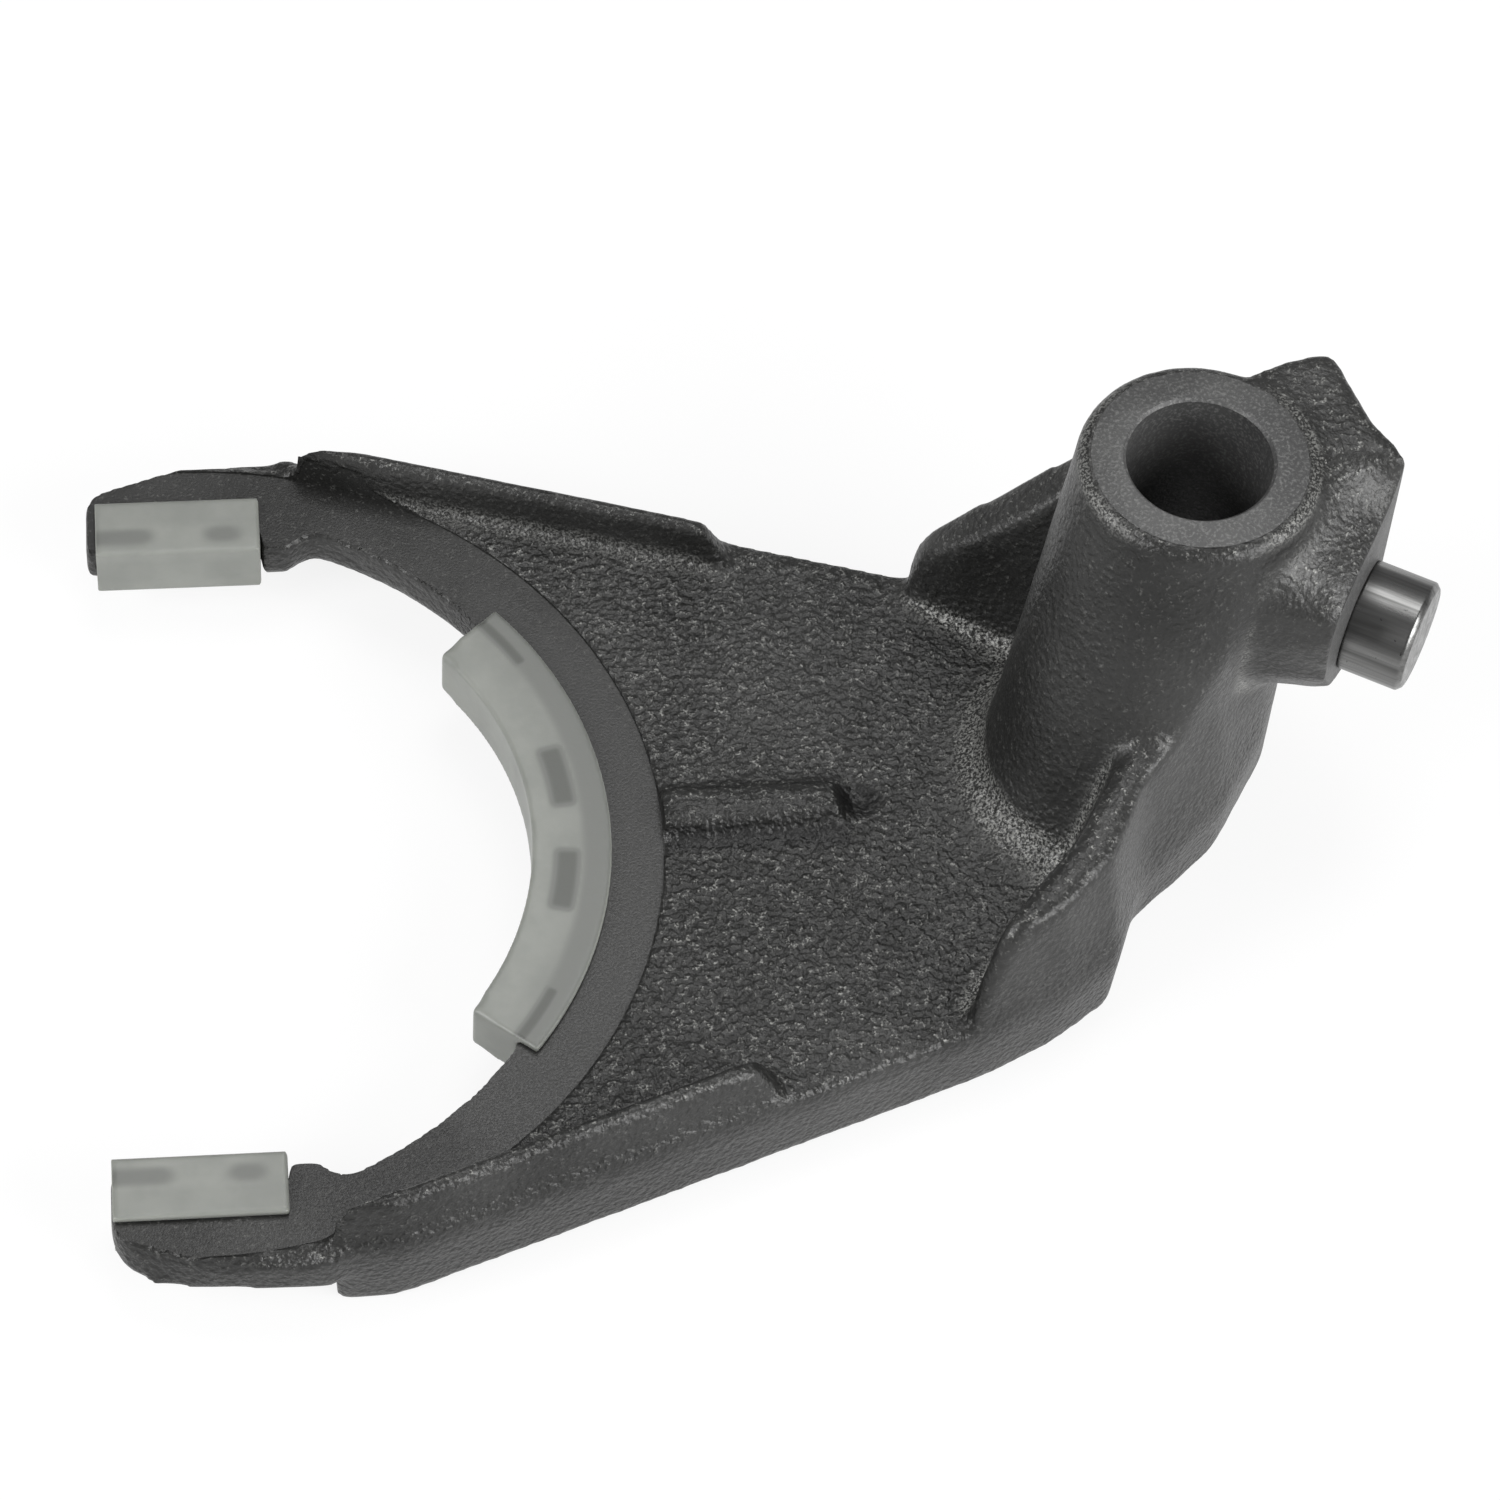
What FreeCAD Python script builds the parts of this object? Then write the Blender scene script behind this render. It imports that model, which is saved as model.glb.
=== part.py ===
import FreeCAD, Part
import math
import os

V = FreeCAD.Vector

# Lengths are in millimetres and angles in degrees. The origin is on the shift rail's axis at the
# fork's base, +Z runs up the rail, and the tines reach towards -X.

# Shift rail bore and hub
bore_diameter = 16.0
bore_chamfer = 0.4
hub_height = 51.6
hub_top_diameter = 26.9
hub_draft = -0.5
hub_edge_round = 1.8

# Web, the flat middle of the fork, and the rim that stiffens its edge underneath
web_bottom = 6.0
web_thickness = 5.6
rim_wall = 3.6
cast_draft = 4.0

# Throat that straddles the sliding sleeve, with its centre beside and away from the rail
throat_distance = 109.35
throat_offset = 18.0
groove_radius = 37.0
tip_setback = 2.5
cast_throat_radius = 46.0
land_width = 5.75
land_depth = 0.25

# Wear pads
pad_flange = 1.0
pad_half_angle = 39.5
pad_turn = 1.1
pad_depth = 8.75
pad_face = 2.1
pad_clearance = 0.05
tip_pad_length = 18.6
tip_pad_start = -10.0
tip_pad_depth = 7.4
tip_pad_face = 1.1

# Teeth on the casting that key the pads; the first one at each tip runs to the tine's end
tooth_height = 3.5
tooth_angle = 9.6
tooth_half_width = 6.1
tip_tooth_height = 2.4
first_tooth_finish = -3.0
second_tooth_span = (1.8, 6.9)

# Tines, measured from the throat centre: along towards the hub, and across
far_tine_end = -11.1
near_tine_end = -10.2
tine_end_width = 11.4
tine_end_round = 6.0
tine_end_taper = 2.6
tine_top_round = 2.5
tine_waist = 0.7
tine_margin = 1.6
tine_step = 1.7
shoulder_start = 8.7
shoulder_end = 11.9
shoulder_setback = 0.8
tine_strip = 2.0
tine_slope_drop = 1.0

# Ribs along the tines
rib_start = 12.4
rib_end = 61.5
rib_height = 5.8
rib_foot = 4.1
rib_top = 1.8
rib_outer_slope = 1.9
rib_round = 0.8
rib_end_round = 3.0
shoulder_along = 20.6

# Middle rib and the round sink mark at its end
middle_rib_end = 71.4
middle_rib_low = -1.2
middle_rib_high = 4.2
middle_rib_height = 2.0
middle_rib_slope = 0.6
sink_radius = 2.6
sink_depth = 1.3
sink_gap = 2.2
sink_across = 2.9

# Hub foot, a round mass that leans out from under the hub's top to the web
foot_centre = (-8.0, -13.1)
foot_radius = 14.4
foot_blend = 4.3
foot_inset = 2.5

# Near wall, from the web's edge up to the ear
near_wall_height = 33.0
near_wall_saddle = 28.0
near_wall_shoulder = 25.5
near_wall_start = -52.3
near_wall_heading = 47.6

# Far wall, from the web's edge up to the hub
far_wall_height = 37.2
far_wall_shoulder = 20.0
far_wall_length = 28.0

# Follower pin and its ear
pin_angle = -29.3
pin_diameter = 12.7
pin_drop = 21.1
pin_side_offset = 3.9
pin_shank_diameter = 12.0
pin_length = 17.4
pin_stand_out = 7.4
pin_chamfer = 0.5
pin_fit = 0.03
pin_end_gap = 0.3
ear_face_distance = 19.8
ear_drop = 0.6

# How far a cutting shape runs past the face it opens
overcut = 1.0

web_top = web_bottom + web_thickness
parting_height = web_bottom + web_thickness / 2
hub_base_radius = hub_top_diameter / 2 + hub_height * math.tan(math.radians(hub_draft))
pin_height = hub_height - pin_drop
tip_half_gap = groove_radius + tip_setback
throat_edge = groove_radius + pad_face + tooth_height
throat_back = cast_throat_radius - throat_edge
pad_outer_radius = groove_radius + pad_depth
land_radius = pad_outer_radius + land_width
tine_half_span = land_radius + tine_margin
tip_edge = tip_half_gap + tip_pad_face + tip_tooth_height
pad_bottom = web_bottom + land_depth - pad_flange
pad_top = web_top - land_depth + pad_flange


def at(along, across, z=0.0):
    # A point measured from the throat centre
    return V(along - throat_distance, across - throat_offset, z)


def corner(along, across, radius=0.0):
    # An outline corner measured from the throat centre
    place = at(along, across)
    return (place.x, place.y, radius)


def polar(radius, angle, z=0.0):
    # A point on a circle round the throat centre
    turn = math.radians(angle)
    return at(radius * math.cos(turn), radius * math.sin(turn), z)


def rounded_wire(corners, z):
    # Closed wire through (x, y, radius) corners, each turned by a tangent arc
    turns = []
    count = len(corners)
    for i in range(count):
        here = V(corners[i][0], corners[i][1], z)
        back = V(corners[i - 1][0], corners[i - 1][1], z) - here
        ahead = V(corners[(i + 1) % count][0], corners[(i + 1) % count][1], z) - here
        back.normalize()
        ahead.normalize()
        radius = corners[i][2]
        if radius <= 0:
            turns.append((here, None, here))
            continue
        half = back.getAngle(ahead) / 2
        reach = radius / math.tan(half)
        inward = back + ahead
        inward.normalize()
        middle = here + inward * (radius / math.sin(half) - radius)
        turns.append((here + back * reach, middle, here + ahead * reach))
    edges = []
    for i in range(count):
        start, middle, finish = turns[i]
        if middle is not None:
            edges.append(Part.Arc(start, middle, finish).toShape())
        edges.append(Part.makeLine(finish, turns[(i + 1) % count][0]))
    return Part.Wire(edges)


def inset(corners, distance):
    # The same outline, run anticlockwise, moved inward by a distance
    moved = []
    count = len(corners)
    for i in range(count):
        here = V(corners[i][0], corners[i][1], 0)
        before = here - V(corners[i - 1][0], corners[i - 1][1], 0)
        after = V(corners[(i + 1) % count][0], corners[(i + 1) % count][1], 0) - here
        before.normalize()
        after.normalize()
        normal_before = V(-before.y, before.x, 0)
        normal_after = V(-after.y, after.x, 0)
        share = distance / (1 + normal_before.dot(normal_after))
        place = here + (normal_before + normal_after) * share
        side = 1 if before.cross(after).z < 0 else -1
        radius = corners[i][2]
        if radius > 0:
            radius = max(radius + side * distance, 0.2)
        moved.append((place.x, place.y, radius))
    return moved


def prism(corners, low, high):
    return Part.Face(rounded_wire(corners, low)).extrude(V(0, 0, high - low))


def drafted(corners, low, high, draft):
    # A prism that narrows upwards, or downwards with a negative draft
    change = (high - low) * math.tan(math.radians(abs(draft)))
    if draft >= 0:
        lower, upper = corners, inset(corners, change)
    else:
        lower, upper = inset(corners, change), corners
    return Part.makeLoft([rounded_wire(lower, low), rounded_wire(upper, high)], True, True)


def sector(inner, outer, start, finish, low, high):
    # A ring segment round the throat centre
    middle = (start + finish) / 2
    edges = [
        Part.Arc(polar(outer, start, low), polar(outer, middle, low), polar(outer, finish, low)).toShape(),
        Part.makeLine(polar(outer, finish, low), polar(inner, finish, low)),
        Part.Arc(polar(inner, finish, low), polar(inner, middle, low), polar(inner, start, low)).toShape(),
        Part.makeLine(polar(inner, start, low), polar(outer, start, low)),
    ]
    return Part.Face(Part.Wire(edges)).extrude(V(0, 0, high - low))


def across_mirror(shape):
    # The same shape on the other tine
    return shape.mirror(at(0, 0), V(0, 1, 0))


def body_corners():
    # Outer edge of the fork behind the tips, anticlockwise from the near tine
    tangent = math.radians(-34.0)
    near_line = [
        (-24.0, -45.9, 30.0),
        (-15.6, -41.7, 15.0),
        (-9.0, -36.9, 2.5),
        (-5.0, -26.4, 5.0),
        (5.3, -17.4, 12.0),
        ((hub_base_radius + 0.5) * math.cos(tangent), (hub_base_radius + 0.5) * math.sin(tangent), 0.0),
    ]
    start, turn = tine_half_span - 1.1, tine_half_span - tine_step
    return ([corner(rib_start, -start, 2.5), corner(shoulder_along, -turn, 8.0)] + near_line
            + [(0.0, hub_base_radius, 0.0), (-28.0, 15.1, 20.0)]
            + [corner(shoulder_along, turn, 8.0), corner(rib_start, start, 2.5)])


def body():
    # Web with its side rims: full at the parting line, drafted above and below it
    corners = body_corners()
    lower = drafted(corners, 0, parting_height, -cast_draft)
    upper = drafted(corners, parting_height, web_top, cast_draft)
    inner = inset(corners, rim_wall)
    pocket_corners = [
        (inner[0][0] - 12.0, inner[0][1], 0.0),
        inner[1],
        inner[2],
        (-18.5, -37.5, 5.0),
        (-19.5, -24.0, 6.0),
        (-22.5, -8.0, 9.0),
        (-21.0, inner[-3][1] - 1.0, 3.0),
        inner[-3],
        inner[-2],
        (inner[-1][0] - 12.0, inner[-1][1], 0.0),
    ]
    pocket = drafted(pocket_corners, -overcut, web_bottom, cast_draft)
    return lower.fuse(upper).cut(pocket)


def tine_tip(tine_end):
    # Flat end of a tine, the thickness of the web, sloping down outside the pad
    def outline(end_width, end_round, z):
        root = rib_start + 4.6
        return rounded_wire([
            corner(tine_end, tip_half_gap),
            corner(root, tip_half_gap),
            corner(root, tine_half_span - tine_step - 0.8),
            corner(rib_start, tine_half_span, 4.0),
            corner(-1.0, tine_half_span - tine_waist, 30.0),
            corner(tine_end, tip_half_gap + end_width, end_round),
        ], z)

    lower = outline(tine_end_width, tine_end_round, web_bottom)
    upper = outline(tine_end_width - tine_end_taper, tine_top_round, web_top)
    tip = Part.makeLoft([lower, upper], True, True)
    start = tip_half_gap + tip_pad_depth + tine_strip
    finish = tine_half_span + overcut
    level = web_top - land_depth
    slope = Part.Face(Part.makePolygon([
        at(tine_end - overcut, start, level),
        at(tine_end - overcut, finish, level - tine_slope_drop),
        at(tine_end - overcut, finish, web_top + overcut),
        at(tine_end - overcut, start, web_top + overcut),
        at(tine_end - overcut, start, level),
    ])).extrude(V(rib_start - tine_end - 0.6, 0, 0))
    return tip.cut(slope)


def curtain(corners, heading, depth):
    # Upright plate whose outline is given as (along, height, radius), standing on the heading
    # through the origin and reaching the depth to both sides
    plate = Part.Face(rounded_wire(corners, 0.0))
    plate.rotate(V(0, 0, 0), V(1, 0, 0), 90)
    plate.translate(V(0, -depth, 0))
    wall = plate.extrude(V(0, 2 * depth, 0))
    wall.rotate(V(0, 0, 0), V(0, 0, 1), heading)
    return wall


def tine_rib(side):
    # Raised rib along one tine's outer edge, rounded down at both ends
    edge = inset(body_corners(), 0.2)
    tip, turn, hub_end = (edge[-1], edge[-2], edge[-3]) if side > 0 else (edge[0], edge[1], edge[2])
    tip = V(tip[0], tip[1], 0)
    turn = V(turn[0], turn[1], 0)
    along = V(hub_end[0], hub_end[1], 0) - turn
    along.normalize()
    inward = V(along.y, -along.x, 0) * side
    end = turn + along * (rib_end - shoulder_along + 3.0)

    def section(height, outer, inner):
        down = V(0, -side, 0)
        points = [tip + down * outer, turn + inward * outer, end + inward * outer, end + inward * inner,
                  turn + inward * inner, tip + down * inner]
        return Part.makePolygon([V(p.x, p.y, height) for p in points + points[:1]])

    top = web_top + rib_height
    low = section(parting_height, 0.0, rib_foot)
    high = section(top, rib_outer_slope, rib_outer_slope + rib_top)
    rib = Part.makeLoft([low, high], True, True)
    start, finish = rib_start - throat_distance, rib_end - throat_distance
    ends = curtain([(start, parting_height, 0), (finish + 3.5, parting_height, 0), (finish + 0.3, web_top, 0),
                    (finish - 3.0, top, rib_end_round), (start + 1.2, top, rib_end_round),
                    (start, web_top, 0)], 0.0, 2 * tine_half_span)
    ridge = [edge for edge in rib.Edges if edge.BoundBox.ZMin > top - 0.01 and edge.Length > 10.0]
    return rib.makeFillet(rib_round, ridge).common(ends)


def middle_rib():
    # Low rib from the ring land towards the hub
    start = land_radius - land_width / 2
    high = [corner(start, middle_rib_low), corner(middle_rib_end, middle_rib_low + 1.0),
            corner(middle_rib_end, middle_rib_high), corner(start, middle_rib_high)]
    low = inset(high, -middle_rib_slope)
    top = web_top + middle_rib_height
    return Part.makeLoft([rounded_wire(low, parting_height), rounded_wire(high, top)], True, True)


def throat_cut():
    # Opening between the tines, with a shoulder that stops each tip pad
    low = -overcut
    shoulder = tip_half_gap + shoulder_setback
    blend = shoulder_end + 3.2
    blend_across = math.sqrt(cast_throat_radius ** 2 - (blend + throat_back) ** 2)

    def side(sign):
        return [
            at(far_tine_end - 5.0, sign * tip_edge, low),
            at(shoulder_start, sign * tip_edge, low),
            at(shoulder_start, sign * shoulder, low),
            at(shoulder_end, sign * shoulder, low),
            at(shoulder_end + 1.2, sign * (shoulder + 0.62 * (blend_across - shoulder)), low),
            at(blend, sign * blend_across, low),
        ]

    far, near = side(1), side(-1)
    edges = [Part.makeLine(far[i], far[i + 1]) for i in range(3)]
    edges.append(Part.Arc(far[3], far[4], far[5]).toShape())
    edges.append(Part.Arc(far[5], at(throat_edge, 0, low), near[5]).toShape())
    edges.append(Part.Arc(near[5], near[4], near[3]).toShape())
    edges += [Part.makeLine(near[i], near[i - 1]) for i in (3, 2, 1)]
    edges.append(Part.makeLine(near[0], far[0]))
    return Part.Face(Part.Wire(edges)).extrude(V(0, 0, web_top + rib_height + 2 * overcut))


def teeth(clearance, low, high):
    # The teeth that key the pads, or their sockets when there is a clearance
    shapes = []
    spread = tooth_half_width + math.degrees(clearance / throat_edge)
    inner = tip_edge - tip_tooth_height - clearance
    for side, tine_end in ((-1, near_tine_end), (1, far_tine_end)):
        shapes.append(sector(throat_edge - tooth_height - clearance, throat_edge + overcut,
                             side * tooth_angle - spread, side * tooth_angle + spread, low, high))
        for start, finish in ((tine_end, first_tooth_finish), second_tooth_span):
            box = Part.makeBox(finish - start + 2 * clearance, tip_edge + overcut - inner, high - low,
                               at(start - clearance, inner, low))
            shapes.append(box if side > 0 else across_mirror(box))
    return shapes


def land_cuts():
    # Ring land faced on both sides of the web, where the pads sit
    centre = at(0, 0)
    upper = Part.makeCylinder(land_radius, 3 * web_top, centre + V(0, 0, web_top - land_depth))
    lower = Part.makeCylinder(land_radius, web_top, centre + V(0, 0, web_bottom + land_depth - web_top))
    return upper.fuse(lower)


def hub():
    # Drafted tube with a turned top face
    top = hub_top_diameter / 2
    tube = Part.makeCone(hub_base_radius, top, hub_height)
    rim = [edge for edge in tube.Edges if edge.BoundBox.ZMin > hub_height - 0.01]
    return tube.makeFillet(hub_edge_round, rim)


def circle(centre, radius, z):
    return Part.Wire(Part.makeCircle(radius, V(centre[0], centre[1], z)))


def hub_foot():
    # Leaning round mass that meets the web in a hollow blend, kept inside the fork's outline
    top = hub_height - hub_edge_round
    lean = (top - parting_height) / (top - web_top)
    base = (foot_centre[0] * lean, foot_centre[1] * lean)
    mass = Part.makeLoft([circle(base, foot_radius, parting_height),
                          circle((0.0, 0.0), hub_top_diameter / 2 - 0.1, top)], True, True)
    skirt = Part.makeCylinder(foot_radius + 3 * foot_blend, web_top - parting_height,
                              V(base[0], base[1], parting_height))
    mass = mass.fuse(skirt)
    seam = [edge for edge in mass.Edges
            if abs(edge.BoundBox.ZMin - web_top) < 0.01 and edge.BoundBox.ZLength < 0.01
            and edge.BoundBox.XLength < 2 * foot_radius + foot_blend]
    mass = mass.makeFillet(foot_blend, seam)
    return mass.common(prism(inset(body_corners(), foot_inset), 0.0, hub_height))


def near_wall():
    # Tapering wall along the near edge with a straight crest, cut to its rising ridge
    base = body_corners()
    foot = [(base[2][0] - 3.5, base[2][1] - 1.3, 0.8), base[3][:2] + (12.0,)] + base[4:8]
    foot += [(0.0, -4.0, 0.0), (-13.4, -24.5, 4.0), (-18.5, -33.0, 4.0), (-27.0, -44.6, 0.8)]
    top = near_wall_height + 3 * overcut
    crest = [(-21.9, -42.1, 0.8), (-15.9, -37.8, 6.0), (-11.9, -32.7, 2.0), (-7.2, -24.9, 4.0), (1.6, -15.8, 8.0),
             (6.5, -8.6, 0.0), (2.0, -4.0, 0.0), (-9.2, -25.2, 3.0), (-13.4, -32.0, 3.0), (-23.4, -41.2, 0.8)]
    wall = Part.makeLoft([rounded_wire(foot, parting_height), rounded_wire(crest, top)], True, True)
    profile = curtain([
        (near_wall_start, 0.0, 0), (hub_top_diameter / 2, 0.0, 0), (hub_top_diameter / 2, near_wall_height + 2.0, 0),
        (-12.0, near_wall_height - 3.0, 12.0), (-24.0, near_wall_saddle, 12.0),
        (near_wall_start + 5.8, near_wall_shoulder, 5.0), (near_wall_start, web_top - 0.5, 0),
    ], near_wall_heading, tine_half_span)
    return wall.common(profile)


def far_wall():
    # Thinner wall along the far edge, rising to the hub
    edge_y = body_corners()[-3][1]
    foot = [(-far_wall_length, 11.6, 1.0), (-15.0, 2.0, 0.0), (0.0, 0.0, 0.0), (0.0, hub_base_radius, 0.0),
            (-27.4, edge_y, 1.5)]
    crest = [(-26.8, 12.4, 0.8), (-13.0, 9.8, 0.0), (0.0, 8.0, 0.0), (0.0, 12.6, 0.0), (-26.4, 14.6, 0.8)]
    wall = Part.makeLoft([rounded_wire(foot, parting_height), rounded_wire(crest, far_wall_height)], True, True)
    profile = curtain([
        (-far_wall_length - overcut, 0.0, 0), (0.0, 0.0, 0), (0.0, far_wall_height, 0), (-9.5, far_wall_height, 0),
        (1.4 - far_wall_length, far_wall_shoulder, 6.0), (-far_wall_length, web_top, 0),
    ], 0.0, tine_half_span)
    return wall.common(profile)


def pin_point(reach, side, height):
    # A point measured along the pin's direction, across it, and up
    turn = math.radians(pin_angle)
    return V(reach * math.cos(turn) - side * math.sin(turn), reach * math.sin(turn) + side * math.cos(turn), height)


def ear():
    # Ear beside the hub's top that carries the follower pin
    plan = [
        (0.0, -13.0, 0), (ear_face_distance, -13.0, 0), (ear_face_distance, 11.0, 0), (17.3, 12.8, 0.8),
        (15.2, 13.6, 1.0), (12.4, 16.2, 6.0), (7.3, 21.0, 1.4), (3.0, 17.6, 3.0), (0.0, 13.0, 0),
    ]
    top = hub_height - ear_drop
    slab = prism(plan, 0.0, top)
    slab.rotate(V(0, 0, 0), V(0, 0, 1), pin_angle)

    def section(reach, shape):
        # A cross-section of (side, height) points, with the height taken from the pin's axis
        loop = [pin_point(reach, side, pin_height + height) for side, height in shape]
        return Part.makePolygon(loop + loop[:1])

    crown = top - pin_height
    face_shape = [
        (10.4, crown), (9.8, 17.5), (7.6, 15.1), (-2.0, 13.9), (-6.9, 12.1), (-8.0, 8.0), (-6.8, 0.5),
        (-3.4, -5.2), (2.9, -8.8), (8.9, -7.6), (12.9, -2.0), (12.9, crown),
    ]
    middle_shape = [
        (9.0, crown), (5.0, crown - 0.4), (-1.0, crown - 1.2), (-7.2, 15.8), (-9.5, 11.5), (-9.8, 6.5), (-9.0, 0.0),
        (-5.5, -6.0), (2.5, -10.6), (10.0, -9.4), (22.5, -3.5), (22.5, crown),
    ]
    root_shape = [
        (4.0, crown), (0.0, crown - 0.3), (-6.0, crown - 0.8), (-12.0, 19.0), (-14.5, 14.5), (-15.3, 8.5),
        (-15.2, -0.5), (-12.0, -9.5), (0.0, -15.5), (10.0, -15.5), (22.5, -6.5), (22.5, crown),
    ]
    flow = Part.makeLoft([section(0.0, root_shape), section(12.0, middle_shape),
                          section(ear_face_distance, face_shape)], True, True)
    return slab.common(flow)


def pin_hole():
    # Blind hole for the pin's shank, opened past the ear's face
    depth = pin_length - pin_stand_out + pin_end_gap
    start = pin_point(ear_face_distance - depth, pin_side_offset, pin_height)
    direction = pin_point(1.0, 0.0, 0.0)
    return Part.makeCylinder(pin_shank_diameter / 2 + pin_fit, depth + overcut, start, direction)


def bore():
    hole = Part.makeCylinder(bore_diameter / 2, hub_height + 2 * overcut, V(0, 0, -overcut))
    wide = bore_diameter / 2 + bore_chamfer
    top = Part.makeCone(bore_diameter / 2, wide, bore_chamfer, V(0, 0, hub_height - bore_chamfer))
    bottom = Part.makeCone(wide, bore_diameter / 2, bore_chamfer)
    return hole.fuse([top, bottom])


def fork_casting():
    tips = [tine_tip(far_tine_end), across_mirror(tine_tip(near_tine_end))]
    casting = body().fuse(tips + [tine_rib(1), tine_rib(-1), middle_rib()])
    casting = casting.cut(throat_cut())
    casting = casting.fuse(teeth(0.0, web_bottom, web_top))
    casting = casting.cut(land_cuts())
    casting = casting.fuse([hub(), hub_foot(), near_wall(), far_wall(), ear()])
    mark = at(middle_rib_end + sink_gap, sink_across, web_top + sink_radius - sink_depth)
    casting = casting.cut([Part.makeSphere(sink_radius, mark), bore(), pin_hole()])
    return casting.removeSplitter()


def pad_socket():
    # Space that the casting fills inside the pads, with its clearance
    low = web_bottom + land_depth - pad_clearance
    high = web_top - land_depth + pad_clearance
    ring = Part.makeCylinder(cast_throat_radius + 10.0, high - low, at(-throat_back, 0, low))
    ring = ring.cut(Part.makeCylinder(cast_throat_radius - pad_clearance, high - low, at(-throat_back, 0, low)))
    return ring.fuse(teeth(pad_clearance, low, high))


def centre_pad():
    pad = sector(groove_radius, pad_outer_radius, pad_turn - pad_half_angle, pad_turn + pad_half_angle,
                 pad_bottom, pad_top)
    return pad.cut(pad_socket())


def tip_pad():
    pad = Part.makeBox(tip_pad_length, tip_pad_depth, pad_top - pad_bottom,
                       at(tip_pad_start, tip_half_gap, pad_bottom))
    low = web_bottom + land_depth - pad_clearance
    high = web_top - land_depth + pad_clearance
    slot = Part.makeBox(tip_pad_length + 2 * overcut, tip_pad_depth, high - low,
                        at(tip_pad_start - overcut, tip_edge - pad_clearance, low))
    return pad.cut([slot] + teeth(pad_clearance, low, high))


def follower_pin():
    # Pressed shank, and the larger free end that bears on the ear's face
    direction = pin_point(1.0, 0.0, 0.0)
    sunk = pin_length - pin_stand_out
    shank = Part.makeCylinder(pin_shank_diameter / 2, sunk + pin_chamfer,
                              pin_point(ear_face_distance - sunk, pin_side_offset, pin_height), direction)
    face = pin_point(ear_face_distance, pin_side_offset, pin_height)
    head = Part.makeCylinder(pin_diameter / 2, pin_stand_out, face, direction)
    end = pin_point(ear_face_distance + pin_stand_out, pin_side_offset, pin_height)
    tip = [edge for edge in head.Edges if len(edge.Vertexes) == 1 and edge.distToShape(Part.Vertex(end))[0] > 1.0
           and edge.CenterOfMass.distanceToPoint(end) < 0.01]
    return head.makeChamfer(pin_chamfer, tip).fuse(shank).removeSplitter()


def main():
    os.makedirs("parts", exist_ok=True)
    far_pad = tip_pad()
    nodes = {
        "fork_casting": fork_casting(),
        "centre_pad": centre_pad(),
        "upper_tip_pad": far_pad,
        "lower_tip_pad": across_mirror(far_pad),
        "follower_pin": follower_pin(),
    }
    for name, shape in nodes.items():
        box = shape.BoundBox
        print(name, shape.isValid(), len(shape.Solids), round(shape.Volume, 1),
              [round(v, 2) for v in (box.XMin, box.XMax, box.YMin, box.YMax, box.ZMin, box.ZMax)])
        shape.exportStep("parts/" + name + ".step")


main()
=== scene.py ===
import math
import bpy
import bmesh
import numpy as np
from mathutils import Matrix, Vector


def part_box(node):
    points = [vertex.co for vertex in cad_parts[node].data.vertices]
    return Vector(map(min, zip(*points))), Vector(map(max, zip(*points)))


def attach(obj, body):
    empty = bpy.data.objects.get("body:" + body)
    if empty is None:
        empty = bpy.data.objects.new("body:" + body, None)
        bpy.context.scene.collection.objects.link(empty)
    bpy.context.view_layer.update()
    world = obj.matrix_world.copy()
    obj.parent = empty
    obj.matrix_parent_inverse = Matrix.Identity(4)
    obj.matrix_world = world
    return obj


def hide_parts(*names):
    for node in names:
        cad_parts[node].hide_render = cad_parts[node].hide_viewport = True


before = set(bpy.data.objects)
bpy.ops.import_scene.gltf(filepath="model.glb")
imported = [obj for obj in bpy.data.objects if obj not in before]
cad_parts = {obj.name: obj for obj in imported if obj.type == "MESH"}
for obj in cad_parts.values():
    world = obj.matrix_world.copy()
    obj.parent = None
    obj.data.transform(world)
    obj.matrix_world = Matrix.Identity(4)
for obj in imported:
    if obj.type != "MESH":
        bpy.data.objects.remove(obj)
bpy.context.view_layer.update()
mm = 0.001

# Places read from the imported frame, in metres
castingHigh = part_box("fork_casting")[1]
padLow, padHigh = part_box("centre_pad")
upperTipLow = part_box("upper_tip_pad")[0]
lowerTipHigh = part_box("lower_tip_pad")[1]

casting = {
    "voxel": 0.62 * mm,
    "boreRadius": 8.0 * mm,
    "boreChamfer": 0.35 * mm,
    "hubTop": castingHigh.z,
    "hubRadius": 13.45 * mm,
    "throat": Vector((padHigh.x, (upperTipLow.y + lowerTipHigh.y) / 2, 0)),
    "grooveRadius": 37.0 * mm,
    "padDepth": 8.75 * mm,
    "landRadius": 51.5 * mm,
    "foot": Vector((-8.0, -13.1, 0)) * mm,
    "padFlange": 1.0 * mm,
    "webTop": 11.6 * mm,
    "webBottom": 6.0 * mm,
    "pinAngle": math.radians(-29.3),
    "pinSide": 3.9 * mm,
    "pinHeight": 30.5 * mm,
    "pinHole": 6.03 * mm,
    "pinGap": 0.3 * mm,
    "earFace": 19.8 * mm,
    "stock": 0.35 * mm,
    "edgeRounds": 9,
    "crestRounds": 22,
    "hollowRounds": 24,
    "wallRise": (16 * mm, 20 * mm),
    "wallReach": (14.5 * mm, 17 * mm),
    "hubZone": (-10 * mm, -12 * mm),
    "hubZoneReach": (24 * mm, 36 * mm),
    "sampleRounds": 14,
    "hollowLift": (0.09 * mm, 0.30 * mm),
    "grainSize": 2.1 * mm,
    "grainHeight": 0.04 * mm,
    "lumpSize": 7.0 * mm,
    "lumpHeight": 0.09 * mm,
}
casting["throat"].x -= casting["grooveRadius"] + casting["padDepth"]
casting["landTop"] = padHigh.z - casting["padFlange"]
casting["landBottom"] = padLow.z + casting["padFlange"]


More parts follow.
